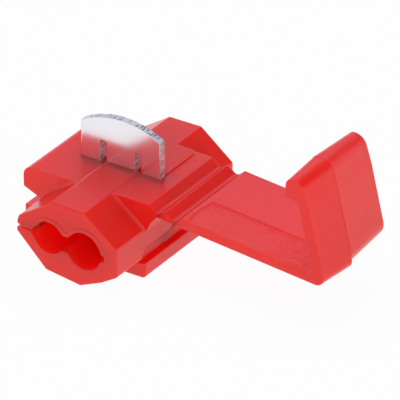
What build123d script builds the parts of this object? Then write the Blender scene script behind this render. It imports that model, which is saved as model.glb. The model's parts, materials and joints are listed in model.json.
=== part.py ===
"""Tap connector: red hinged housing with a slotted contact blade, shown open and unpressed.

Millimetres. X runs from the housing to the open cover, Y along the two wires, Z up.
X = 0 lies midway between the two wire bores, Y = 0 at half length, Z = 0 on the flat base.
The housing, hinge bar and cover are one moulding, divided only at its two film hinges.
"""
from math import acos, cos, radians, sin, tan
import os

from build123d import *

# Overall sizes along the wires
LENGTH = 20.0
BLOCK_LENGTH = 10.9
PARTING_Y = -1.05
DRAFT_ANGLE = 0.8
EDGE_ROUND = 0.12
ROOT_ROUND = 0.4
ROOT_STEPS = 4
CUT_OVERRUN = 1.0

# Wire bores: the run wire enters from the side, the tap wire from the front
BORE_PITCH = 3.9
BORE_TOP_Z = 6.02
RUN_RADIUS = 1.66
TAP_RADIUS = 1.94
TAP_STOP_WALL = 2.4
RIM_WIDTH = 0.36
RIM_HEIGHT = 0.08
WAIST_HEIGHT = 1.7
WAIST_ROUND = 0.3
FUNNEL_REACH = 2.15
FUNNEL_DEPTH = 0.6
FLEX_NOTCH_DEPTH = 0.36
FLEX_NOTCH_HEIGHT = 0.72
FLEX_NOTCH_DROP = 0.16

# Nozzle walls round the bores
TOP_WALL = 2.14
SIDE_WALL = 1.64
CROWN_WIDTH = 3.6
CROWN_OFFSET = 0.18
SIDE_RISE = 1.22
SIDE_FALL = 1.78
JAW_NOTCH_DEPTH = 0.45
LOWER_WALL = 1.93
HEEL_WALL = 1.44
JAW_WALL = 2.05

# Block in the middle
JAW_REACH = 5.97
JAW_CORNER = 0.95
MOUTH_UPPER_Z = 5.99
MOUTH_LOWER_Z = 3.95
MOUTH_THROAT_X = -5.7
MOUTH_THROAT_Z = 5.03
SLIT_Z = 4.6
SLIT_DROP = 0.1
SLIT_GAP = 0.28
SLIT_INNER_GAP = 0.1
LATCH_Z = 1.55
LATCH_DEPTH = 1.35
FLANGE_REACH = 0.12
FLANGE_HEIGHT = 1.62
FLANGE_CORNER = 0.3
COVE_HEIGHT = 1.68
COVE_DEPTH = 0.62
COVE_RUNOUT = 0.3
RIDGE_Z = 5.1
RIDGE_REACH = 0.28
FLARE_REACH = 0.95
FLARE_Z = 6.4
REAR_WALL_RECESS = 0.15
PAD_HEIGHT = 0.15
PAD_CORNER = 0.7
PAD_ROOT = 0.5

# Film hinges
SHOULDER_X = 6.19
SHOULDER_DROP = 0.83
LOWER_AXIS_X = 7.07
FILM_THICKNESS = 0.3
FILM_LEAD = 0.05
HINGE_SPAN = 1.89
HINGE_DROP = 0.23
BAR_CREST = 0.56
BAR_CREST_OFFSET = 0.86
HINGE_GAP = 0.04

# Cover, sized along the arm (u) and square to it (v) from the upper hinge line
OPEN_TILT = 5.75
ARM_LENGTH = 15.2
ARM_INNER = 0.78
ARM_CHAMFER = 0.8
ARM_OVERLAP = 1.2
COVER_LENGTH = 10.75
LIP_LEAN = 20.0
LIP_THICKNESS = 1.0
LIP_HEIGHT = 8.87
HOOK_LEDGE = 6.9
HOOK_REACH = 1.35
HOOK_DROOP = 0.25
LEDGE_ROUND = 0.6
HEEL_ROUND = 0.85
REAR_HEEL_ROUND = 1.35
TIP_ROUND = 1.35
HOOK_ROUND = 0.7
LIP_CROWN = 0.45
LIP_BOW = 0.16
LIP_BOW_DROP = 2.5
PARTING_STEP = 0.05
RECESS_START = 1.45
RECESS_BOW = 0.2

# Contact blade
BLADE_WIDTH = 8.87
BLADE_THICKNESS = 0.76
BLADE_Y = -0.48
BLADE_SHOULDER = 3.8
BLADE_CROWN = 1.2
SLOT_WIDTH = 0.7
RUN_SLOT_TOP = 2.27
TAP_SLOT_TOP = 1.99
SLOT_CORNER = 0.15
SLOT_FLARE = 0.55
LEG_CLEARANCE = 0.15
LEG_BEVEL = 0.5
BLADE_CLEARANCE = 0.05
BLADE_FLOOR = 0.15

# Sizes that follow from the ones above
END_Y = LENGTH / 2
BLOCK_Y = BLOCK_LENGTH / 2
RUN_X = -BORE_PITCH / 2
TAP_X = BORE_PITCH / 2
RUN_Z = BORE_TOP_Z - RUN_RADIUS
TAP_Z = BORE_TOP_Z - TAP_RADIUS
TOP_Z = BORE_TOP_Z + TOP_WALL
SIDE_X = TAP_X + TAP_RADIUS + SIDE_WALL
WAIST_Z = (RUN_Z + TAP_Z) / 2
LEFT_X = RUN_X - JAW_REACH
LOWER_AXIS_Z = TOP_Z - SHOULDER_DROP
UPPER_AXIS_X = LOWER_AXIS_X + HINGE_SPAN
UPPER_AXIS_Z = LOWER_AXIS_Z - HINGE_DROP
BLADE_TOP_Z = TOP_Z + BLADE_SHOULDER + BLADE_CROWN
BLADE_TIP_Z = BORE_TOP_Z + LEG_CLEARANCE
BLADE_TRAVEL = BLADE_TOP_Z - TOP_Z
COVE_RADIUS = (COVE_HEIGHT ** 2 / 4 + COVE_DEPTH ** 2) / (2 * COVE_DEPTH)


def outline(corners, y=0.0):
    """Make a flat face in the XZ plane at y from (x, z, corner radius) triples."""
    points = [Vector(x, y, z) for x, z, _ in corners]
    enters, leaves, edges = [], [], []
    for index, (_, _, radius) in enumerate(corners):
        point = points[index]
        back = (points[index - 1] - point).normalized()
        ahead = (points[(index + 1) % len(points)] - point).normalized()
        half = acos(max(-1.0, min(1.0, back.dot(ahead)))) / 2
        reach = radius / tan(half)
        enters.append(point + back * reach)
        leaves.append(point + ahead * reach)
        if radius > 0:
            middle = point + (back + ahead).normalized() * (radius / sin(half) - radius)
            edges.append(ThreePointArc(enters[-1], middle, leaves[-1]))
    for index in range(len(points)):
        following = (index + 1) % len(points)
        edges.append(Line(leaves[index], enters[following]))
    return make_face(Wire(edges))


def along_y(face, length):
    """Extrude a face that stands square to Y by length towards +Y."""
    return extrude(face, amount=length, dir=(0, 1, 0))


def cylinder_y(x, z, radius, start, end):
    """Make a round bar along Y from start to end."""
    middle = (start + end) / 2
    return Pos(x, middle, z) * Rot(90, 0, 0) * Cylinder(radius, end - start)


def box(x_span, y_span, z_span):
    """Make a box from its limits on each axis."""
    spans = (x_span, y_span, z_span)
    centre = [(low + high) / 2 for low, high in spans]
    return Pos(*centre) * Box(*[high - low for low, high in spans])


def round_a_bore(x, z, radius, wall, angle, corner=0.0):
    """Place an outline corner at a wall thickness outside a bore, in the given direction."""
    reach = radius + wall
    turn = radians(angle)
    return (x + reach * cos(turn), z + reach * sin(turn), corner)


def grown(corners, amount):
    """Move every side of an outline out by amount; its corners run clockwise, all convex."""
    moved = []
    for index, (x, z, radius) in enumerate(corners):
        back = Vector(x, z) - Vector(*corners[index - 1][:2])
        ahead = Vector(*corners[(index + 1) % len(corners)][:2]) - Vector(x, z)
        normals = [Vector(-side.Y, side.X).normalized() for side in (back, ahead)]
        shift = (normals[0] + normals[1]) * (amount / (1 + normals[0].dot(normals[1])))
        moved.append((x + shift.X, z + shift.Y, radius + amount))
    return moved


def nozzle_corners():
    """List the corners of the end face that surrounds both bores, clockwise."""
    crown_left = CROWN_OFFSET - CROWN_WIDTH / 2
    return [
        (crown_left, TOP_Z, 0.3),
        (crown_left + CROWN_WIDTH, TOP_Z, 0.3),
        (SIDE_X, TAP_Z + SIDE_RISE, 0.3),
        (SIDE_X, TAP_Z - SIDE_FALL, 0.3),
        round_a_bore(TAP_X, TAP_Z, TAP_RADIUS, HEEL_WALL, -57, 0.8),
        round_a_bore(TAP_X, TAP_Z, TAP_RADIUS, LOWER_WALL, -97.5, 0.3),
        round_a_bore(RUN_X, RUN_Z, RUN_RADIUS, LOWER_WALL, -97.5, 0.4),
        round_a_bore(RUN_X, RUN_Z, RUN_RADIUS, JAW_WALL, -175.5, 0.3),
        round_a_bore(RUN_X, RUN_Z, RUN_RADIUS, JAW_WALL, 169, 0.4),
        round_a_bore(RUN_X, RUN_Z, RUN_RADIUS, JAW_WALL, 159, 0.5),
    ]


def nozzles():
    """Make the drafted tube body that runs through the block and out of both ends."""
    slope = tan(radians(DRAFT_ANGLE))
    widest = nozzle_corners()
    halves = []
    for end in (-END_Y, END_Y):
        growth = slope * abs(end - PARTING_Y)
        half = loft([outline(widest, end), outline(grown(widest, growth), PARTING_Y)],
                    ruled=True)
        rims_edge = half.faces().sort_by(lambda face: abs(face.center().Y - end))[0].edges()
        halves.append(fillet(rims_edge, EDGE_ROUND))
    return halves[0] + halves[1]


def block_corners():
    """List the corners of the middle block's section."""
    film_z = LOWER_AXIS_Z - FILM_THICKNESS
    film_x = LOWER_AXIS_X - HINGE_GAP / 2
    flange_x = SIDE_X + FLANGE_REACH
    inside_x = SIDE_X - COVE_DEPTH
    return [
        (LEFT_X, TOP_Z, JAW_CORNER),
        (SHOULDER_X, TOP_Z, 0.12),
        (film_x, LOWER_AXIS_Z, 0.0),
        (film_x, film_z, 0.0),
        (SHOULDER_X + SHOULDER_DROP, film_z - FILM_LEAD, 0.1),
        (SIDE_X + FLARE_REACH, FLARE_Z, 0.5),
        (SIDE_X + RIDGE_REACH, RIDGE_Z, 0.08),
        (inside_x, RIDGE_Z, 0.0),
        (inside_x, FLANGE_HEIGHT, 0.0),
        (flange_x, FLANGE_HEIGHT, 0.0),
        (flange_x, 0.0, 0.4),
        (LEFT_X + LATCH_DEPTH, 0.0, 0.3),
        (LEFT_X + LATCH_DEPTH, LATCH_Z, 0.2),
        (LEFT_X, LATCH_Z + 0.1, 0.3),
        (LEFT_X, MOUTH_LOWER_Z, 0.2),
        (MOUTH_THROAT_X, MOUTH_THROAT_Z, 0.0),
        (LEFT_X, MOUTH_UPPER_Z, 0.2),
    ]


def block():
    """Make the middle block with its jaws, latch ledge, base flange and hinge shoulder."""
    body = along_y(outline(block_corners(), -BLOCK_Y), BLOCK_LENGTH)
    flange_x = SIDE_X + FLANGE_REACH
    posts = body.edges().filter_by(Axis.Z).filter_by_position(Axis.X, flange_x - 0.01,
                                                              flange_x + 0.01)
    return fillet(posts.filter_by_position(Axis.Z, 0, FLANGE_HEIGHT), FLANGE_CORNER)


def root_rounds():
    """Make the hollow rounds where the nozzles run into the block's two end faces."""
    slope = tan(radians(DRAFT_ANGLE))
    skirts = []
    for side in (-1, 1):
        sections = []
        for step in range(ROOT_STEPS + 1):
            turn = radians(90) * step / ROOT_STEPS
            y = BLOCK_Y + ROOT_ROUND * (1 - sin(turn))
            growth = slope * (END_Y - y) + ROOT_ROUND * (1 - cos(turn))
            sections.append(outline(grown(nozzle_corners(), growth), side * y))
        skirts.append(loft(sections, ruled=True))
    reach = BLOCK_Y + ROOT_ROUND
    return (skirts[0] + skirts[1]) & along_y(outline(block_corners(), -reach), 2 * reach)


def bore_section(extra, cusp, y):
    """Make the figure-eight face of both bores, larger by extra, with the waist's cusps rounded."""
    half = WAIST_HEIGHT / 2 + extra
    run = Pos(RUN_X, RUN_Z) * Circle(RUN_RADIUS + extra)
    tap = Pos(TAP_X, TAP_Z) * Circle(TAP_RADIUS + extra)
    waist = Pos((RUN_X + TAP_X) / 2, WAIST_Z) * Rectangle(BORE_PITCH, 2 * half)
    joined = run + tap + waist
    cusps = joined.vertices().filter_by_position(Axis.X, RUN_X, TAP_X)
    return Plane((0, y, 0), x_dir=(1, 0, 0), z_dir=(0, -1, 0)) * fillet(cusps, cusp)


def slit():
    """Make the wedge-shaped gap between the jaws, from the run bore out to the side mouth."""
    inner_x = RUN_X - RUN_RADIUS + RIM_WIDTH / 2
    notch_x = RUN_X - RUN_RADIUS - JAW_WALL + JAW_NOTCH_DEPTH
    inner_z = SLIT_Z - SLIT_DROP
    corners = [
        (inner_x, inner_z - SLIT_INNER_GAP / 2, 0.0),
        (inner_x, inner_z + SLIT_INNER_GAP / 2, 0.0),
        (notch_x, SLIT_Z + SLIT_GAP / 2, 0.0),
        (LEFT_X, MOUTH_UPPER_Z, 0.0),
        (LEFT_X, MOUTH_LOWER_Z, 0.0),
        (notch_x, SLIT_Z - SLIT_GAP / 2, 0.0),
    ]
    return along_y(outline(corners, -END_Y - CUT_OVERRUN), LENGTH + 2 * CUT_OVERRUN)


def funnel(y):
    """Make the pointed widening of the run bore's mouth that leads a wire to the slit."""
    tip = (RUN_X - FUNNEL_REACH, SLIT_Z - SLIT_DROP, 0.0)
    touch_x = RUN_X - RUN_RADIUS ** 2 / FUNNEL_REACH
    half = RUN_RADIUS * sin(acos(RUN_RADIUS / FUNNEL_REACH))
    corners = [tip, (touch_x, RUN_Z + half, 0.0), (touch_x, RUN_Z - half, 0.0)]
    return along_y(outline(corners, y), 2 * FUNNEL_DEPTH)


def wire_space():
    """Make all the space that the wires use, with its slit, funnels and flex notch."""
    open_y = END_Y + CUT_OVERRUN
    stop_y = END_Y - TAP_STOP_WALL
    space = along_y(bore_section(0.0, WAIST_ROUND, -open_y), stop_y + open_y)
    space += cylinder_y(RUN_X, RUN_Z, RUN_RADIUS, 0.0, open_y)
    space += slit()
    space += funnel(-END_Y - FUNNEL_DEPTH)
    space += funnel(END_Y - FUNNEL_DEPTH)
    notch_x = TAP_X + TAP_RADIUS + FLEX_NOTCH_DEPTH
    notch_z = TAP_Z - FLEX_NOTCH_DROP
    space += box((TAP_X, notch_x), (-open_y, stop_y),
                 (notch_z - FLEX_NOTCH_HEIGHT / 2, notch_z + FLEX_NOTCH_HEIGHT / 2))
    return space


def rims():
    """Make the low raised rims round both bores in front and round the run bore behind."""
    cusp = WAIST_ROUND / 3
    front = loft([bore_section(RIM_WIDTH + 2 * RIM_HEIGHT, cusp, -END_Y + RIM_HEIGHT),
                  bore_section(RIM_WIDTH, cusp, -END_Y - RIM_HEIGHT)], ruled=True)
    rear = Pos(RUN_X, END_Y, RUN_Z) * Rot(-90, 0, 0) * Cone(
        RUN_RADIUS + RIM_WIDTH + 2 * RIM_HEIGHT, RUN_RADIUS + RIM_WIDTH, 2 * RIM_HEIGHT)
    return front + rear


def cove():
    """Make the groove above the base flange on the hinge side, with its two round ends."""
    x = SIDE_X - COVE_DEPTH + COVE_RADIUS
    z = FLANGE_HEIGHT + COVE_HEIGHT / 2
    reach = BLOCK_Y + COVE_RUNOUT - COVE_HEIGHT / 2
    groove = cylinder_y(x, z, COVE_RADIUS, -reach, reach)
    for y in (-reach, reach):
        groove += Pos(x, y, z) * Sphere(COVE_RADIUS)
    return groove


def blade_pocket():
    """Make the slot that guides the blade, deep enough for its whole travel."""
    half_x = BLADE_WIDTH / 2 + BLADE_CLEARANCE
    half_y = BLADE_THICKNESS / 2 + BLADE_CLEARANCE
    floor = BLADE_TIP_Z - BLADE_TRAVEL - BLADE_FLOOR
    return box((-half_x, half_x), (BLADE_Y - half_y, BLADE_Y + half_y), (floor, TOP_Z + CUT_OVERRUN))


def housing():
    """Make the housing: block, nozzles, rims and pad, less the wire space and blade pocket."""
    body = block() + nozzles() + root_rounds()
    pad_half = BLADE_WIDTH / 2
    pad = box((-pad_half, pad_half), (BLADE_Y, BLOCK_Y), (TOP_Z - PAD_ROOT, TOP_Z + PAD_HEIGHT))
    corner = pad.edges().filter_by(Axis.Z).group_by(Axis.Y)[-1].sort_by(Axis.X)[-1]
    body += fillet(corner, PAD_CORNER)
    recess_x = SIDE_X - REAR_WALL_RECESS
    body -= box((recess_x, SIDE_X + RIDGE_REACH), (PARTING_Y, BLOCK_Y),
                (FLANGE_HEIGHT + COVE_HEIGHT / 2, RIDGE_Z))
    return body + rims() - cove() - wire_space() - blade_pocket()


def hinge_bar():
    """Make the three-cornered bar between the two film hinges."""
    start = LOWER_AXIS_X + HINGE_GAP / 2
    end = UPPER_AXIS_X - HINGE_GAP / 2
    corners = [
        (start, LOWER_AXIS_Z, 0.0),
        (LOWER_AXIS_X + BAR_CREST_OFFSET, LOWER_AXIS_Z + BAR_CREST, 0.1),
        (end, UPPER_AXIS_Z, 0.0),
        (end, UPPER_AXIS_Z - FILM_THICKNESS, 0.0),
        (start, LOWER_AXIS_Z - FILM_THICKNESS, 0.0),
    ]
    return along_y(outline(corners, -COVER_LENGTH / 2), COVER_LENGTH)


def lip_section(y, grow, heel, floor):
    """Make one section of the lip and its hook.

    The outer side and the tip are moved out by grow, heel is the lower corner's radius and
    floor is the height of the arm's top.
    """
    lean = radians(LIP_LEAN)
    slope = tan(lean)
    under = -FILM_THICKNESS
    across = LIP_THICKNESS / cos(lean) + grow
    overlap_u = ARM_LENGTH - ARM_OVERLAP

    def inner(v):
        return ARM_LENGTH - slope * (v - ARM_INNER)

    top = ARM_INNER + LIP_HEIGHT
    ledge = ARM_INNER + HOOK_LEDGE
    bow = top - LIP_BOW_DROP
    hook_u = inner(ledge) - HOOK_REACH
    corners = [
        (overlap_u, under, 0.0),
        (inner(under) + across, under, heel),
        (inner(bow) + across + LIP_BOW, bow, 2 * LIP_BOW_DROP),
        (inner(top) + across, top + grow, TIP_ROUND),
        (hook_u, top + grow, HOOK_ROUND),
        (hook_u, ledge - HOOK_DROOP, HOOK_DROOP / 2),
        (inner(ledge), ledge, LEDGE_ROUND),
        (ARM_LENGTH, floor, ROOT_ROUND),
        (overlap_u, floor, 0.0),
    ]
    return outline(corners, y)


def front_recess():
    """Make the thin layer that the mould's front half leaves off the top of the arm."""
    front_y = -COVER_LENGTH / 2
    middle_y = (front_y + PARTING_Y) / 2
    end_u = ARM_LENGTH - ARM_OVERLAP
    face = make_face(Wire([
        ThreePointArc((RECESS_START, front_y, 0), (RECESS_START - RECESS_BOW, middle_y, 0),
                      (RECESS_START, PARTING_Y, 0)),
        Line((RECESS_START, PARTING_Y, 0), (end_u, PARTING_Y, 0)),
        Line((end_u, PARTING_Y, 0), (end_u, front_y, 0)),
        Line((end_u, front_y, 0), (RECESS_START, front_y, 0)),
    ]))
    return extrude(Pos(0, 0, ARM_INNER - PARTING_STEP) * face, amount=CUT_OVERRUN, dir=(0, 0, 1))


def cover():
    """Make the cover arm with its crowned lip and hook, tilted down into its open place."""
    half = COVER_LENGTH / 2
    start = HINGE_GAP / 2
    overlap_u = ARM_LENGTH - ARM_OVERLAP
    arm_corners = [
        (start, 0.0, 0.0),
        (ARM_CHAMFER, ARM_INNER, 0.1),
        (overlap_u, ARM_INNER, 0.0),
        (overlap_u, -FILM_THICKNESS, 0.0),
        (start, -FILM_THICKNESS, 0.0),
    ]
    arm = along_y(outline(arm_corners, -half), COVER_LENGTH) - front_recess()
    low = ARM_INNER - PARTING_STEP
    crown = LIP_CROWN - PARTING_STEP
    front = loft([lip_section(-half, 0.0, HEEL_ROUND, low),
                  lip_section(PARTING_Y, crown, HEEL_ROUND, low)], ruled=True)
    rear = loft([lip_section(PARTING_Y, LIP_CROWN, REAR_HEEL_ROUND, ARM_INNER),
                 lip_section(half, 0.0, REAR_HEEL_ROUND, ARM_INNER)], ruled=True)
    return Pos(UPPER_AXIS_X, 0, UPPER_AXIS_Z) * Rot(0, OPEN_TILT, 0) * (arm + front + rear)


def contact_blade():
    """Make the flat contact with its domed top, two wire slots and bevelled leg tips."""
    half = BLADE_WIDTH / 2
    shoulder = BLADE_TOP_Z - BLADE_CROWN
    tip = BLADE_TIP_Z
    plate = [
        Line((-half, 0, shoulder), (-half, 0, tip + LEG_BEVEL)),
        Line((-half, 0, tip + LEG_BEVEL), (-half + LEG_BEVEL, 0, tip)),
        Line((-half + LEG_BEVEL, 0, tip), (half - LEG_BEVEL, 0, tip)),
        Line((half - LEG_BEVEL, 0, tip), (half, 0, tip + LEG_BEVEL)),
        Line((half, 0, tip + LEG_BEVEL), (half, 0, shoulder)),
        ThreePointArc((half, 0, shoulder), (0, 0, BLADE_TOP_Z), (-half, 0, shoulder)),
    ]
    blade = along_y(Pos(0, BLADE_Y - BLADE_THICKNESS / 2, 0) * make_face(Wire(plate)),
                    BLADE_THICKNESS)
    for x, top in ((RUN_X, TOP_Z + RUN_SLOT_TOP), (TAP_X, TOP_Z + TAP_SLOT_TOP)):
        slot = SLOT_WIDTH / 2
        corners = [
            (x - slot, top, SLOT_CORNER),
            (x + slot, top, SLOT_CORNER),
            (x + slot, tip + SLOT_FLARE, 0.0),
            (x + slot + SLOT_FLARE, tip - 0.01, 0.0),
            (x - slot - SLOT_FLARE, tip - 0.01, 0.0),
            (x - slot, tip + SLOT_FLARE, 0.0),
        ]
        cut = along_y(outline(corners, BLADE_Y - BLADE_THICKNESS), 2 * BLADE_THICKNESS)
        blade -= cut
    return blade


def main():
    """Build every node and write it to parts."""
    os.makedirs("parts", exist_ok=True)
    nodes = {
        "housing": housing(),
        "hinge_bar": hinge_bar(),
        "cover": cover(),
        "contact_blade": contact_blade(),
    }
    for name, solid in nodes.items():
        solid.label = name
        export_step(solid, f"parts/{name}.step")


if __name__ == "__main__":
    main()
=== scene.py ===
"""Looks of the open tap connector: red moulded housing and cover, and the bright contact blade.

Blender's units are metres, and the row frame is the part's own: X runs from the housing to the
open cover, Y along the wires and Z up from the flat base. Sizes are written in millimetres
times MM.
"""

import json
import logging
import math
from collections.abc import Callable
from dataclasses import dataclass
from enum import Enum
from typing import Any

import bmesh
import bpy
from mathutils import Matrix, Vector

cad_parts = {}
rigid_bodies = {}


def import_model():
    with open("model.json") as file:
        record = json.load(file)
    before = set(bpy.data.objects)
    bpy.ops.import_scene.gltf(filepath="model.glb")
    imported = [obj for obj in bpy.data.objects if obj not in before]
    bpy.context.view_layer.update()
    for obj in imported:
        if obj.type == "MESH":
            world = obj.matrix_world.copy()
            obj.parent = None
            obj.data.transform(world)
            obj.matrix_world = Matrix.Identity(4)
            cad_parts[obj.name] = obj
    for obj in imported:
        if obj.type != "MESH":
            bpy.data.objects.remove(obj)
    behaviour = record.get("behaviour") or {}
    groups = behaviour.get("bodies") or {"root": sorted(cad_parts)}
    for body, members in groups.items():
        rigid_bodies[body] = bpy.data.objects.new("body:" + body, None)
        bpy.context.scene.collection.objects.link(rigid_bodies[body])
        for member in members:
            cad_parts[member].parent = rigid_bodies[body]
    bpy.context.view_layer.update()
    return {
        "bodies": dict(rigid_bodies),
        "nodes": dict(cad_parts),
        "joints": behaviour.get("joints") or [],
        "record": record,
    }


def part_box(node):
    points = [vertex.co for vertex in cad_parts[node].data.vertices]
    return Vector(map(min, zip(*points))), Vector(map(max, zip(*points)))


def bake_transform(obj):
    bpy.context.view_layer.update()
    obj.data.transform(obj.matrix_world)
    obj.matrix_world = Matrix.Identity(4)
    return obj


MM = 0.001
IMAGE_PIXELS = 400

# The curve of sRGB is straight up to its knee and a power above it.
CHANNEL_TOP = 255
SRGB_KNEE = 0.04045
SRGB_SLOPE = 12.92
SRGB_OFFSET = 0.055
SRGB_POWER = 2.4

WHITE = "#FFFFFF"
# At this strength a glow shows in its own colour, so that white is just white.
PLAIN_GLOW = 1.0
BEVEL_SAMPLES = 6

log = logging.getLogger("tap_connector")


def linear_colour(hex_colour: str) -> tuple[float, float, float, float]:
    """Turn an sRGB hex colour into the linear colour that shaders take.

    Args:
        hex_colour: six hex digits with a leading hash sign.

    Returns:
        Linear red, green, blue and an alpha of 1.
    """
    channels = [int(hex_colour[place:place + 2], 16) / CHANNEL_TOP for place in (1, 3, 5)]
    linear = [
        value / SRGB_SLOPE
        if value <= SRGB_KNEE
        else ((value + SRGB_OFFSET) / (1 + SRGB_OFFSET)) ** SRGB_POWER
        for value in channels
    ]
    return (*linear, 1.0)


def add_node(
    tree: bpy.types.NodeTree,
    kind: str,
    settings: dict[str, Any] | None = None,
    **inputs: Any,
) -> bpy.types.Node:
    """Add a node, set its properties and fill or link its inputs.

    Args:
        tree: the node tree that gets the node.
        kind: Blender's name for the node's type.
        settings: properties of the node itself.
        inputs: a value or an output socket for each input, named with underscores for spaces,
            or by its place as _0, _1 and so on.

    Returns:
        The new node.
    """
    node = tree.nodes.new(kind)
    for name, value in (settings or {}).items():
        setattr(node, name, value)
    for name, value in inputs.items():
        key = int(name[1:]) if name[1:].isdigit() else name.replace("_", " ")
        socket = node.inputs[key]
        if isinstance(value, bpy.types.NodeSocket):
            tree.links.new(value, socket)
        else:
            socket.default_value = value
    return node


def new_material(name: str) -> tuple[bpy.types.Material, bpy.types.NodeTree]:
    """Make a material with no nodes yet.

    Args:
        name: the material's name.

    Returns:
        The material and its node tree.
    """
    material = bpy.data.materials.new(name)
    material.use_nodes = True
    material.node_tree.nodes.clear()
    return material, material.node_tree


def add_object(name: str, data: bpy.types.ID) -> bpy.types.Object:
    """Put an object into the scene.

    Args:
        name: the object's name.
        data: its mesh, light or camera.

    Returns:
        The object, at the origin.
    """
    thing = bpy.data.objects.new(name, data)
    bpy.context.scene.collection.objects.link(thing)
    return thing


def outward(azimuth: float, elevation: float) -> Vector:
    """Give the direction from the connector to a place around it.

    Args:
        azimuth: degrees round from the front, the side of -Y, towards +X.
        elevation: degrees above the table.

    Returns:
        The direction, one unit long.
    """
    turn, rise = math.radians(azimuth), math.radians(elevation)
    return Vector(
        (math.sin(turn) * math.cos(rise), -math.cos(turn) * math.cos(rise), math.sin(rise))
    )


class MouldFinish(Enum):
    """The moulding's kinds of surface: two by the steel that formed them, the bores' walls with a
    painted glow, and thin films.
    """

    POLISHED = "polished"
    SPARK_ERODED = "spark_eroded"
    # A painted glow: the same plastic, scattering deeper, so that the bores light up.
    PAINTED_BORE_GLOW = "painted_bore_glow"
    THIN_FILM = "thin_film"


@dataclass(frozen=True)
class Polypropylene:
    """Red injection-moulded polypropylene: waxy, softly glossy and lit from inside.

    Light goes a few millimetres into it, so that thin walls glow, and every moulded edge is a
    little round and catches a thin line of light.
    The bores' walls get a copy that scatters far deeper, a painted glow that lights them up.
    """

    finish: MouldFinish
    colour: str = "#FC281E"
    roughness: float = 0.26
    ior: float = 1.49

    # Red goes deepest. Light's free path is about a twelfth of the depths.
    scatter_share: tuple[float, float, float] = (1.0, 0.05, 0.04)
    scatter_depth: float = 8.0 * MM
    # Painted glow: the bores' walls scatter far deeper than the rest, so that they light up. All
    # over it would darken the block's top.
    painted_glow_depth: float = 50.0 * MM
    # The thin films are drawn out and cloudy, so that light turns back near their skin.
    film_depth: float = 0.08 * MM

    edge_round: float = 0.08 * MM
    # The flowing plastic left slow waves in the gloss.
    flow_width: float = 1.4 * MM
    flow_depth: float = 0.006 * MM
    flow_detail: float = 2.0
    # A real spark-eroded grain is about 0.05 mm wide, too fine to show here, so that it is
    # drawn coarser. On the other finishes it is very shallow and only softens the gloss.
    grain_width: float = 0.2 * MM
    eroded_depth: float = 0.14 * MM
    polished_depth: float = 0.004 * MM
    grain_detail: float = 1.0
    grain_roughness: float = 0.4

    def depth(self) -> float:
        """Say how deep red light goes behind this finish."""
        depths = {MouldFinish.PAINTED_BORE_GLOW: self.painted_glow_depth, MouldFinish.THIN_FILM: self.film_depth}
        return depths.get(self.finish, self.scatter_depth)

    def relief(self, tree: bpy.types.NodeTree) -> bpy.types.NodeSocket:
        """Round the edges and lay the flow waves and the grain over the surface.

        Args:
            tree: the material's node tree.

        Returns:
            The socket that gives the surface's normal.
        """
        eroded = self.finish is MouldFinish.SPARK_ERODED
        place = add_node(tree, "ShaderNodeTexCoord").outputs["Object"]
        edge = add_node(
            tree, "ShaderNodeBevel", {"samples": BEVEL_SAMPLES}, Radius=self.edge_round
        )
        flow = add_node(
            tree,
            "ShaderNodeTexNoise",
            Vector=place,
            Scale=1 / self.flow_width,
            Detail=self.flow_detail,
        )
        flow_bump = add_node(
            tree,
            "ShaderNodeBump",
            Height=flow.outputs["Fac"],
            Distance=self.flow_depth,
            Normal=edge.outputs["Normal"],
        )
        grain = add_node(
            tree,
            "ShaderNodeTexNoise",
            Vector=place,
            Scale=1 / self.grain_width,
            Detail=self.grain_detail,
            Roughness=self.grain_roughness,
        )
        grain_bump = add_node(
            tree,
            "ShaderNodeBump",
            Height=grain.outputs["Fac"],
            Distance=self.eroded_depth if eroded else self.polished_depth,
            Normal=flow_bump.outputs["Normal"],
        )
        return grain_bump.outputs["Normal"]

    def build(self) -> bpy.types.Material:
        """Make the material of one finish.

        Returns:
            The finished material.
        """
        material, tree = new_material(f"polypropylene_{self.finish.value}")
        skin = add_node(
            tree,
            "ShaderNodeBsdfPrincipled",
            Base_Color=linear_colour(self.colour),
            Roughness=self.roughness,
            IOR=self.ior,
            Subsurface_Weight=1.0,
            Subsurface_Radius=self.scatter_share,
            Subsurface_Scale=self.depth(),
            Normal=self.relief(tree),
        )
        add_node(tree, "ShaderNodeOutputMaterial", Surface=skin.outputs["BSDF"])
        return material


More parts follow.
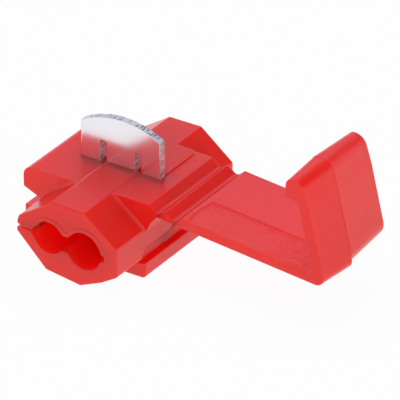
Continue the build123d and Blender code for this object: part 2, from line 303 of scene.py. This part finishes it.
@dataclass(frozen=True)
class RolledTinPlate:
    """Bright tin plate on rolled brass: a clear mirror, softened by fine rolling lines.

    The lines run up the blade, along the strip that it was stamped from, and are drawn
    coarser than real, because the real ones are finer than a pixel. Each face also leans back
    a little, for the strip's bow.
    """

    name: str = "rolled_tin_plate"
    colour: str = "#EFEDF2"
    roughness: float = 0.17
    line_width: float = 0.16 * MM
    line_stretch: float = 0.12
    line_depth: float = 0.0012 * MM
    line_detail: float = 2.0
    bow_lean: float = math.radians(2.7)
    edge_round: float = 0.12 * MM

    def build(self) -> bpy.types.Material:
        """Make the material.

        Returns:
            The finished material.
        """
        material, tree = new_material(self.name)
        place = add_node(tree, "ShaderNodeTexCoord").outputs["Object"]
        stretched = add_node(
            tree, "ShaderNodeMapping", Vector=place, Scale=(1.0, 1.0, self.line_stretch)
        )
        lines = add_node(
            tree,
            "ShaderNodeTexNoise",
            Vector=stretched.outputs["Vector"],
            Scale=1 / self.line_width,
            Detail=self.line_detail,
        )
        edge = add_node(
            tree, "ShaderNodeBevel", {"samples": BEVEL_SAMPLES}, Radius=self.edge_round
        )
        lines_bump = add_node(
            tree,
            "ShaderNodeBump",
            Height=lines.outputs["Fac"],
            Distance=self.line_depth,
            Normal=edge.outputs["Normal"],
        )
        height = add_node(tree, "ShaderNodeSeparateXYZ", Vector=place)
        bow = add_node(
            tree,
            "ShaderNodeBump",
            {"invert": True},
            Height=height.outputs["Z"],
            Distance=math.tan(self.bow_lean),
            Normal=lines_bump.outputs["Normal"],
        )
        plate = add_node(
            tree,
            "ShaderNodeBsdfPrincipled",
            Base_Color=linear_colour(self.colour),
            Metallic=1.0,
            Roughness=self.roughness,
            Normal=bow.outputs["Normal"],
        )
        add_node(tree, "ShaderNodeOutputMaterial", Surface=plate.outputs["BSDF"])
        return material


@dataclass(frozen=True)
class ShearedTinPlate:
    """Tin plate over the sheared edge of the strip: bright lands between dark tear marks.

    The punch leaves its marks straight through the strip's thickness. They are drawn coarser
    than real, because the real ones are finer than a pixel.
    """

    name: str = "sheared_tin_plate"
    land_colour: str = "#F4F4F5"
    tear_colour: str = "#8E9297"
    roughness: float = 0.5
    mark_width: float = 0.09 * MM
    mark_stretch: float = 0.1
    mark_depth: float = 0.03 * MM
    mark_detail: float = 1.0
    # The noise is a tear below the first level and a land above the second.
    tear_level: float = 0.4
    land_level: float = 0.52

    def build(self) -> bpy.types.Material:
        """Make the material.

        Returns:
            The finished material.
        """
        material, tree = new_material(self.name)
        place = add_node(tree, "ShaderNodeTexCoord").outputs["Object"]
        stretched = add_node(
            tree, "ShaderNodeMapping", Vector=place, Scale=(1.0, self.mark_stretch, 1.0)
        )
        marks = add_node(
            tree,
            "ShaderNodeTexNoise",
            Vector=stretched.outputs["Vector"],
            Scale=1 / self.mark_width,
            Detail=self.mark_detail,
        )
        lands = add_node(
            tree,
            "ShaderNodeMapRange",
            Value=marks.outputs["Fac"],
            From_Min=self.tear_level,
            From_Max=self.land_level,
        )
        # A Mix node's colours can be told only by place: 6 and 7 go in, and 2 comes out.
        colour = add_node(
            tree,
            "ShaderNodeMix",
            {"data_type": "RGBA"},
            _0=lands.outputs["Result"],
            _6=linear_colour(self.tear_colour),
            _7=linear_colour(self.land_colour),
        )
        bump = add_node(
            tree,
            "ShaderNodeBump",
            Height=lands.outputs["Result"],
            Distance=self.mark_depth,
        )
        plate = add_node(
            tree,
            "ShaderNodeBsdfPrincipled",
            Base_Color=colour.outputs[2],
            Metallic=1.0,
            Roughness=self.roughness,
            Normal=bump.outputs["Normal"],
        )
        add_node(tree, "ShaderNodeOutputMaterial", Surface=plate.outputs["BSDF"])
        return material


@dataclass(frozen=True)
class StudioPaper:
    """White matt paper on a light table, exposed until it is white.

    The table's light comes through it a little. The lens and gloss see the white share in
    place of the lit paper, so that it keeps only a trace of a soft shadow.
    """

    name: str = "studio_paper"
    colour: str = "#F3F2F5"
    table_share: float = 0.3
    white_share: float = 0.96

    def build(self) -> bpy.types.Material:
        """Make the material.

        Returns:
            The finished material.
        """
        material, tree = new_material(self.name)
        rays = add_node(tree, "ShaderNodeLightPath").outputs
        seen_in_gloss = add_node(
            tree,
            "ShaderNodeMath",
            {"operation": "MAXIMUM"},
            _0=rays["Is Glossy Ray"],
            _1=rays["Is Transmission Ray"],
        )
        seen = add_node(
            tree,
            "ShaderNodeMath",
            {"operation": "MAXIMUM"},
            _0=rays["Is Camera Ray"],
            _1=seen_in_gloss.outputs["Value"],
        )
        # What is seen gets the white share, and all other light the table's share.
        share = add_node(
            tree,
            "ShaderNodeMath",
            {"operation": "MULTIPLY_ADD"},
            _0=seen.outputs["Value"],
            _1=self.white_share - self.table_share,
            _2=self.table_share,
        )
        paper = add_node(tree, "ShaderNodeBsdfDiffuse", Color=linear_colour(self.colour))
        white = add_node(
            tree, "ShaderNodeEmission", Color=linear_colour(WHITE), Strength=PLAIN_GLOW
        )
        both = add_node(
            tree,
            "ShaderNodeMixShader",
            _0=share.outputs["Value"],
            _1=paper.outputs["BSDF"],
            _2=white.outputs["Emission"],
        )
        add_node(tree, "ShaderNodeOutputMaterial", Surface=both.outputs["Shader"])
        return material


@dataclass(frozen=True)
class FilmHinge:
    """One of the two thin webs of the moulding that bend when the cover closes.

    The solids stop just short of the web's middle. This short strip joins them there and
    makes the bottom of the groove a narrow flat land.
    """

    name: str
    bodies: tuple[str, str]
    joint: str
    # The groove's slopes before and after the hinge, as rise over run.
    slopes: tuple[float, float]
    half_width: float = 0.24 * MM
    thickness: float = 0.3 * MM
    # The groove's flat bottom lies this far above the hinge's axis.
    land: float = 0.13 * MM
    # The strip stands this much proud of the solids, so that no two faces coincide.
    skin: float = 0.004 * MM
    end_gap: float = 0.02 * MM
    steps: int = 24
    # The film turns over this distance on each side of the axis.
    bend_reach: float = 0.1 * MM
    crease: float = math.radians(40)

    def section(self) -> list[tuple[float, float]]:
        """Work out the web's outline across the hinge.

        The top follows each neighbouring slope down to the land between them.

        Returns:
            Offsets from the hinge's axis, across it and up, in order round the outline.
        """
        before, after = self.slopes
        left, right = -self.half_width, self.half_width
        top = []
        for step in range(self.steps + 1):
            across = left + (right - left) * step / self.steps
            slope = across * (before if across < 0 else after)
            top.append((across, max(slope, self.land) + self.skin))
        floor = -self.thickness - self.skin
        return top + [(right, floor), (left, floor)]

    def strip(self, axis: Vector) -> bpy.types.Mesh:
        """Draw the section along the whole hinge.

        Args:
            axis: a point on the hinge's axis.

        Returns:
            The closed mesh, smooth but for its sharp edges.
        """
        low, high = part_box("hinge_bar")
        mesh = bmesh.new()
        front, rear = [
            [mesh.verts.new((axis.x + across, y, axis.z + up)) for across, up in self.section()]
            for y in (low.y + self.end_gap, high.y - self.end_gap)
        ]
        count = len(front)
        for index in range(count):
            after = (index + 1) % count
            mesh.faces.new((front[index], front[after], rear[after], rear[index]))
        mesh.faces.new(list(reversed(front)))
        mesh.faces.new(rear)
        bmesh.ops.recalc_face_normals(mesh, faces=mesh.faces)
        data = bpy.data.meshes.new(self.name)
        mesh.to_mesh(data)
        mesh.free()
        data.set_sharp_from_angle(angle=self.crease)
        for face in data.polygons:
            face.use_smooth = True
        return data

    def build(self, frame: dict[str, Any], film: bpy.types.Material) -> None:
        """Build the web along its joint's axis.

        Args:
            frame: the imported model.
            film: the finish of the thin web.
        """
        joint = next(entry for entry in frame["joints"] if entry["name"] == self.joint)
        axis = Vector(joint["pos_m"])
        data = self.strip(axis)
        data.materials.append(film)
        web = add_object(self.name, data)
        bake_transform(web)
        log.info("%s bends between %s and %s", self.name, *self.bodies)


@dataclass(frozen=True)
class Bore:
    """One wire bore of the housing, along Y."""

    x: float
    z: float
    radius: float
    # Takes in the lead-in at the mouth and the rounded ridges between the two bores.
    slack: float = 0.45 * MM

    def holds(self, face: bpy.types.MeshPolygon) -> bool:
        """Tell whether a face is part of this bore's wall."""
        away = Vector((face.center.x - self.x, 0, face.center.z - self.z))
        return away.length < self.radius + self.slack and face.normal.dot(away) < 0


@dataclass(frozen=True)
class Moulding:
    """The red moulding: housing, hinge bar and cover, joined by its two film hinges."""

    nodes: tuple[str, ...] = ("housing", "hinge_bar", "cover")
    # Each solid of the moulding gets these finishes, in this order.
    slots: tuple[MouldFinish, ...] = (
        MouldFinish.POLISHED,
        MouldFinish.SPARK_ERODED,
        MouldFinish.PAINTED_BORE_GLOW,
    )
    bored_node: str = "housing"
    eroded_node: str = "cover"
    # The eroded panel lies in front of the parting line, level with the arm and below the lip.
    parting_y: float = -1.05 * MM
    arm_tilt: float = math.radians(5.75)
    arm_limit_z: float = 8.0 * MM
    # A face is level while the cosine of its lean from the arm's is this close to 1.
    level_slack: float = 0.02
    hinges: tuple[FilmHinge, ...] = (
        FilmHinge("lower_film", ("housing", "hinge_bar"), "lower_hinge", slopes=(-0.943, 0.651)),
        FilmHinge("upper_film", ("hinge_bar", "cover"), "upper_hinge", slopes=(-0.767, 0.83)),
    )

    def dress(self, frame: dict[str, Any]) -> None:
        """Give each solid its finishes and build the two webs.

        Args:
            frame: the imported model.
        """
        finishes = {finish: Polypropylene(finish).build() for finish in MouldFinish}
        for name in self.nodes:
            data = frame["nodes"][name].data
            data.materials.clear()
            for finish in self.slots:
                data.materials.append(finishes[finish])
            log.info("%s dressed as polypropylene", name)
        bores = self.read_bores(frame)
        self.finish_faces(
            frame["nodes"][self.eroded_node].data,
            MouldFinish.SPARK_ERODED,
            self.on_panel,
        )
        # The bores' walls get the painted glow.
        self.finish_faces(
            frame["nodes"][self.bored_node].data,
            MouldFinish.PAINTED_BORE_GLOW,
            lambda face: any(bore.holds(face) for bore in bores),
        )
        for hinge in self.hinges:
            hinge.build(frame, finishes[MouldFinish.THIN_FILM])

    def read_bores(self, frame: dict[str, Any]) -> list[Bore]:
        """Read where the wire bores are from the record's mounts.

        Args:
            frame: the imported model.

        Returns:
            The bores, in the record's order.
        """
        return [
            Bore(x=mount["pos_m"][0], z=mount["pos_m"][2], radius=mount["dims"]["r_mm"] * MM)
            for mount in frame["record"]["mounts"]
            if mount["kind"] == "bore"
        ]

    def on_panel(self, face: bpy.types.MeshPolygon) -> bool:
        """Tell whether a face of the cover lies on the arm's spark-eroded panel.

        Args:
            face: a face of the cover's mesh.

        Returns:
            True for the shallow panel in front of the parting line.
        """
        up = Vector((math.sin(self.arm_tilt), 0, math.cos(self.arm_tilt)))
        level = face.normal.dot(up) > 1 - self.level_slack
        return level and face.center.z < self.arm_limit_z and face.center.y < self.parting_y

    def finish_faces(
        self,
        data: bpy.types.Mesh,
        finish: MouldFinish,
        takes: Callable[[bpy.types.MeshPolygon], bool],
    ) -> None:
        """Give one finish to some faces of a solid and the polished one to the others.

        Args:
            data: the solid's mesh.
            finish: the finish of the chosen faces.
            takes: tells whether a face is a chosen one.
        """
        chosen = self.slots.index(finish)
        polished = self.slots.index(MouldFinish.POLISHED)
        for face in data.polygons:
            face.material_index = chosen if takes(face) else polished
        count = sum(face.material_index == chosen for face in data.polygons)
        log.info("%d faces of %s have the %s finish", count, data.name, finish.value)


@dataclass(frozen=True)
class ContactBlade:
    """The stamped contact: two rolled faces, and sheared edges all round and in the slots."""

    node: str = "contact_blade"
    # A rolled face looks along Y, and a sheared one across it.
    edge_limit: float = 0.5

    def dress(self, frame: dict[str, Any]) -> None:
        """Sort the blade's faces into rolled and sheared ones.

        Args:
            frame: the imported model.
        """
        data = frame["nodes"][self.node].data
        data.materials.clear()
        finishes = (RolledTinPlate(), ShearedTinPlate())
        for finish in finishes:
            data.materials.append(finish.build())
        rolled, sheared = range(len(finishes))
        for face in data.polygons:
            face.material_index = sheared if abs(face.normal.y) < self.edge_limit else rolled
        log.info("%s dressed as tin plate", self.node)


@dataclass(frozen=True)
class SoftLamp:
    """A square cloth-fronted lamp, aimed at the connector, at angles in degrees."""

    name: str
    azimuth: float
    elevation: float
    side: float
    power: float
    colour: str = WHITE
    distance: float = 600 * MM

    def hang(self) -> None:
        """Hang the lamp at its angles, counted as the camera's are."""
        away = outward(self.azimuth, self.elevation)
        data = bpy.data.lights.new(self.name, "AREA")
        data.size = self.side
        data.energy = self.power
        data.color = linear_colour(self.colour)[:3]
        lamp = add_object(self.name, data)
        lamp.visible_camera = False
        lamp.location = away * self.distance
        lamp.rotation_euler = away.to_track_quat("Z", "Y").to_euler()


@dataclass(frozen=True)
class Studio:
    """White paper in a cloth tent, with soft lamps in front, above, on the right and behind."""

    paper_size: float = 1200 * MM
    paper_drop: float = 0.02 * MM

    tent_colour: str = "#F0EEFF"
    # The tent's strength low down all round, and high up on the left and on the right.
    tent_low: float = 1.0
    tent_left: float = 0.48
    tent_right: float = 0.12
    # Left turns to right over this much of the direction's X on each side of the middle.
    tent_turn: float = 0.5
    # Low turns to high between these elevations, in degrees.
    fade_from: float = 12.0
    fade_to: float = 32.0

    lamps: tuple[SoftLamp, ...] = (
        SoftLamp("front_lamp", azimuth=25.0, elevation=36.0, side=700 * MM, power=0.45),
        SoftLamp("top_lamp", azimuth=20.0, elevation=88.0, side=400 * MM, power=1.4),
        SoftLamp("right_lamp", azimuth=78.0, elevation=14.0, side=280 * MM, power=0.4),
        SoftLamp(
            "rear_lamp",
            azimuth=204.0,
            elevation=45.0,
            side=220 * MM,
            power=0.16,
            colour="#E1E1FF",
        ),
    )

    def build(self) -> None:
        """Lay the paper, hang the lamps and raise the tent."""
        self.lay_paper()
        for lamp in self.lamps:
            lamp.hang()
        self.raise_tent()

    def lay_paper(self) -> None:
        """Lay the sheet of paper that the connector stands on."""
        half = self.paper_size / 2
        corners = [(-half, -half), (half, -half), (half, half), (-half, half)]
        data = bpy.data.meshes.new("paper")
        data.from_pydata([(x, y, -self.paper_drop) for x, y in corners], [], [(0, 1, 2, 3)])
        data.materials.append(StudioPaper().build())
        paper = add_object("paper", data)

    def raise_tent(self) -> None:
        """Light the world as a cloth tent that the lens sees as plain white.

        The cloth is brightest low down, all round. High up it is dimmer, most of all on the
        right.
        """
        world = bpy.data.worlds.new("cloth_tent")
        world.use_nodes = True
        tree = world.node_tree
        tree.nodes.clear()
        direction = add_node(tree, "ShaderNodeTexCoord").outputs["Generated"]
        parts = add_node(tree, "ShaderNodeSeparateXYZ", Vector=direction)
        high = add_node(
            tree,
            "ShaderNodeMapRange",
            {"interpolation_type": "SMOOTHSTEP"},
            Value=parts.outputs["X"],
            From_Min=-self.tent_turn,
            From_Max=self.tent_turn,
            To_Min=self.tent_left,
            To_Max=self.tent_right,
        )
        level = add_node(
            tree,
            "ShaderNodeMapRange",
            {"interpolation_type": "SMOOTHSTEP"},
            Value=parts.outputs["Z"],
            From_Min=math.sin(math.radians(self.fade_from)),
            From_Max=math.sin(math.radians(self.fade_to)),
            To_Min=self.tent_low,
            To_Max=high.outputs["Result"],
        )
        cloth = add_node(
            tree,
            "ShaderNodeBackground",
            Color=linear_colour(self.tent_colour),
            Strength=level.outputs["Result"],
        )
        white = add_node(
            tree, "ShaderNodeBackground", Color=linear_colour(WHITE), Strength=PLAIN_GLOW
        )
        rays = add_node(tree, "ShaderNodeLightPath").outputs
        shown = add_node(
            tree,
            "ShaderNodeMixShader",
            _0=rays["Is Camera Ray"],
            _1=cloth.outputs["Background"],
            _2=white.outputs["Background"],
        )
        add_node(tree, "ShaderNodeOutputWorld", Surface=shown.outputs["Shader"])
        bpy.context.scene.world = world


@dataclass(frozen=True)
class Camera:
    """The photograph's viewpoint: a long lens, from the front, the right and above.

    Its angles are in degrees.
    """

    azimuth: float = 33.22
    elevation: float = 29.3
    roll: float = -0.26
    distance: float = 547.1 * MM
    target: tuple[float, float, float] = (8.30 * MM, 0.0, 6.75 * MM)
    pixels_per_radian: float = 5865.0
    # The sensor's width, which Blender counts in millimetres.
    sensor: float = 36.0
    clip_start: float = 10 * MM

    def build(self) -> None:
        """Place the camera and make it the scene's own."""
        turn, roll = math.radians(self.azimuth), math.radians(self.roll)
        back = outward(self.azimuth, self.elevation)
        level = Vector((math.cos(turn), math.sin(turn), 0))
        upright = back.cross(level)
        right = math.cos(roll) * level + math.sin(roll) * upright
        up = math.cos(roll) * upright - math.sin(roll) * level
        data = bpy.data.cameras.new("camera")
        data.sensor_width = self.sensor
        data.lens = self.pixels_per_radian / IMAGE_PIXELS * self.sensor
        data.clip_start = self.clip_start
        camera = add_object("camera", data)
        axes = Matrix((right, up, back)).transposed().to_4x4()
        camera.matrix_world = Matrix.Translation(Vector(self.target) + back * self.distance) @ axes
        bpy.context.scene.camera = camera


def main() -> None:
    """Dress the connector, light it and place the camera."""
    logging.basicConfig(level=logging.INFO, format="%(name)s: %(message)s")
    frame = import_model()
    Moulding().dress(frame)
    ContactBlade().dress(frame)
    Studio().build()
    Camera().build()
    bpy.context.scene.view_settings.view_transform = "Standard"


if __name__ == "__main__":
    main()
